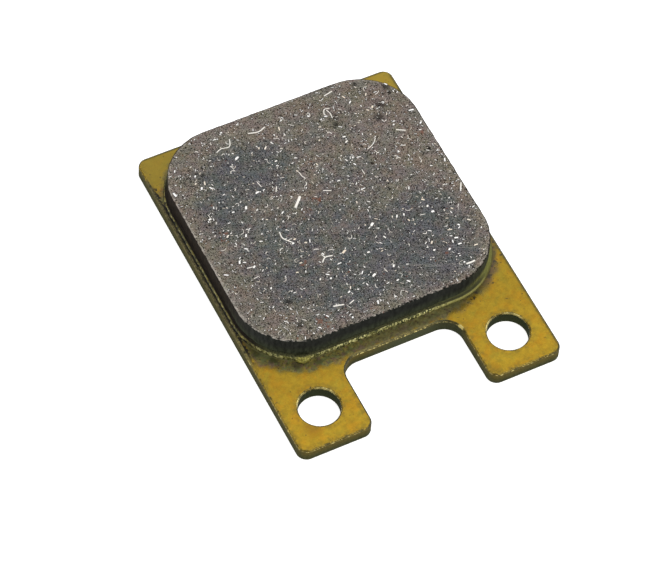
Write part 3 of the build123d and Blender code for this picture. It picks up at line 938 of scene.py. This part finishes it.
def bondResin(look):
    net = Paint("bondResin", {"Metallic": look["metallic"], "Specular IOR Level": 0.25})
    rise, ramp, noise, times, plus, most, zone = net.tools()
    x, y, z = net.spot
    calm = zone(4.2, 9.0, 2.0, -4.0)  # smooth at one corner
    tone = Coat(net, look, "amber")
    tone.over(rise(noise(1.7, 3.0, 0.6), 0.4, 0.62), "olive")
    tone.over(calm, "calmOlive")
    drop = rise(net.distance(net.place, look["dropPlace"]), 1.1, 0.7)
    tone.over(drop, "drop")
    left = rise(x, -14.5, -16.0)
    tone.over(left, "leftTint", "MULTIPLY")
    ridge = net.attribute("crest")
    crest = net.math("POWER", ridge, ramp(calm, 0.0, 1.0, 1.0, 3.0))
    patchy = ramp(noise(1.9, 3.0, 0.6, 39.0), 0.36, 0.52, 0.5, 1.0)
    crest = times(crest, most(patchy, calm))
    brow = times(rise(z, 2.13, 2.22), rise(crest, 0.5, 0.1))
    tone.over(brow, net.mix(left, look["brow"], blockLook["wall"]))  # shaded under the wall
    dim = most(left, times(calm, rise(y, -9.5, -7.0)), rise(x, -8.5, -12.5, 0.55))
    dim = most(dim, drop, rise(y, 0.0, 6.0))
    shine = plus(noise(3.8, 2.0, 0.6, 37.0, (1.0, 0.6, 1.0)), times(calm, 0.2))
    lit = times(crest, ramp(dim, 0.0, 1.0, 1.0, 0.15), rise(shine, 0.48, 0.55))
    tone.over(lit, net.mix(calm, look["shine"], look["smooth"]))
    climb = rise(net.attribute("loose"), 0.7, 0.3)  # thin up the wall
    thin = net.mix(left, look["smear"], blockLook["wall"])
    tone.over(climb, net.mix(calm, thin, look["smearGreen"]))
    flank = zone(12.0, 14.0, 3.0, -3.0, 0.85)
    tone.over(flank, net.mix(rise(ridge, 0.3, 0.9), look["flankPale"], look["flankDark"]))
    darkest, palest = ramp(calm, 0.0, 1.0, 0.38, 0.85), ramp(calm, 0.0, 1.0, 1.62, 1.15)
    tone.shade(ramp(noise(6.0, 3.0, 0.7, 25.0), 0.3, 0.7, darkest, palest))
    ragged = plus(z, ramp(noise(2.4, 4.0, 0.65, 9.0), 0.3, 0.7, -0.2, 0.2))
    # painted shadow in the groove at the bead's foot on the left
    groove = times(rise(x, -15.6, -16.2), rise(ragged, 2.0, 1.94))
    tone.over(groove, "grimeAndShade")
    tone.finish()
    wet = noise(4.0, shift=5.0)
    wet = ramp(wet, 0.3, 0.7, look["roughness"] * 0.7, look["roughness"] * 1.7)
    net.wire("Roughness", plus(wet, times(most(climb, brow, groove, flank), 0.6)))
    net.bump(noise(5.0, 3.0), 0.06, 0.6)
    return net.material


def footPath(net, inset):  # outline of the block, made smaller by the inset
    twice = net.times(inset, 2.0)
    inputs = {0: net.minus(net.given["Width"], twice), 1: net.minus(net.given["Length"], twice)}
    path = net.geo("CurvePrimitiveQuadrilateral", inputs, mode="RECTANGLE")
    inputs = {"Curve": path, "Count": 64, "Radius": net.minus(net.given["Corner"], inset)}
    return net.geo("FilletCurve", inputs, mode="POLY")


def makeBead(look, profile, finish):
    net = Growth("resinSweep", dict(look, Finish=finish))
    given = net.given
    path = net.geo("ResampleCurve", {"Curve": footPath(net, 0.0), "Length": given["Step"]}, mode="LENGTH")
    path = net.geo("SetCurveNormal", {0: path}, mode="Z_UP")
    section = net.geo("MeshToCurve", {0: given["Geometry"]})
    swept = net.geo("CurveToMesh", {"Curve": path, "Profile Curve": section})
    where = net.geo("InputPosition")
    across, along, height = net.split(where)
    lump = net.times(net.minus(net.noise(given["Lump scale"]), 0.55), net.times(given["Lumps"], 2.0))
    crumb = net.times(net.minus(net.noise(given["Crumb scale"]), 0.5), given["Crumbs"])
    calm = net.ramp(across, given["Lumpy to"], given["Calm from"], 1.0, 0.2)
    near = net.math("DIVIDE", net.distance(where, given["Drop"]), given["Drop reach"])
    near = net.math("SQRT", net.math("SUBTRACT", 1.0, near, clamp=True))
    push = net.plus(net.times(net.plus(lump, crumb), calm), net.times(near, given["Drop swell"]))
    push = net.times(push, net.named("loose"))
    swept = net.move(swept, Offset=net.scaled(net.geo("InputNormal"), push))
    swept = net.move(swept, Position=net.combine(across, along, net.most(height, 0.0)))
    sheet = net.geo("FillCurve", {0: footPath(net, given["Tongue"])}, mode="NGONS")
    under = net.geo("FlipFaces", {0: sheet})
    over = net.geo("ExtrudeMesh", {"Mesh": sheet, "Offset Scale": given["Film"], "Individual": False})
    veil = net.geo("MergeByDistance", {0: net.join(under, over), "Distance": 1e-7})
    whole = net.geo("Transform", {"Geometry": net.join(swept, veil), "Translation": given["Seat"]})
    net.close(whole, True)

    out, up, loose, crest = np.array(profile).T
    points = np.column_stack([out, -up, np.zeros(len(out))]) * mm
    edges = [(k, (k + 1) % len(out)) for k in range(len(out))]
    drawing = makeMesh("resinBead", points.tolist(), edges, [])
    setAttributes(drawing, loose=loose, crest=crest)
    return net.grow(drawing)


resinBead = makeBead(beadLook, beadProfile, bondResin(resinLook))
print("resin bead:", len(resinBead.data.polygons), "faces")

dressed = (
    (frictionBlock, "friction_compound", ["friction_block"]), (groundFlecks, "friction_compound", []),
    (cutFibres, "friction_compound", []), (resinBead, "bond_resin", ["bond_layer"]),
)
for piece, slot, nodes in dressed:
    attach(piece, "root")
    if nodes:
        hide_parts(*nodes)


# studio: soft panels, pale floor

studio = {
    "floorSize": 3.0, "floorDrop": 0.01, "floorColour": (0.9, 0.9, 0.9, 1.0), "floorGlow": 0.7,
    "white": (1.0, 1.0, 1.0, 1.0), "fill": 0.55,
    "panels": {  # direction from the pad, distance and side in metres, radiance
        "backPanel": ((0.283, 0.481, 0.83), 0.55, 0.70, 0.7),
        "rightPanel": ((0.283, -0.60, 0.75), 0.50, 0.34, 1.9),
        "leftPanel": ((-0.68, -0.20, 0.66), 0.50, 0.28, 0.9),
        "lowPanel": ((0.95, -0.10, 0.26), 0.50, 0.26, 1.5),
    },
}


def makeStudio(look):
    half = look["floorSize"] / 2
    drop = -look["floorDrop"] * mm
    corners = [(-half, -half, drop), (half, -half, drop), (half, half, drop), (-half, half, drop)]
    mesh = makeMesh("paleFloor", corners, [], [(0, 1, 2, 3)])
    fixed = {"Roughness": 0.9, "Base Color": look["floorColour"], "Emission Color": look["white"],
             "Emission Strength": look["floorGlow"]}
    mesh.materials.append(Paint("paleFloor", fixed).material)
    floor = addObject("paleFloor", mesh)
    for name, (direction, distance, side, radiance) in look["panels"].items():
        data = bpy.data.lights.new(name, "AREA")
        data.shape = "SQUARE"
        data.size = side
        data.energy = math.pi * radiance * side * side
        lamp = addObject(name, data)
        lamp.location = Vector(direction).normalized() * distance
        lamp.rotation_euler = Vector(direction).to_track_quat("Z", "Y").to_euler()
    world = bpy.data.worlds.new("studioFill")
    world.use_nodes = True
    sky = world.node_tree.nodes["Background"].inputs
    sky["Color"].default_value = look["white"]
    sky["Strength"].default_value = look["fill"]
    bpy.context.scene.world = world
    bpy.context.scene.view_settings.view_transform = "Standard"


makeStudio(studio)
print("studio set")
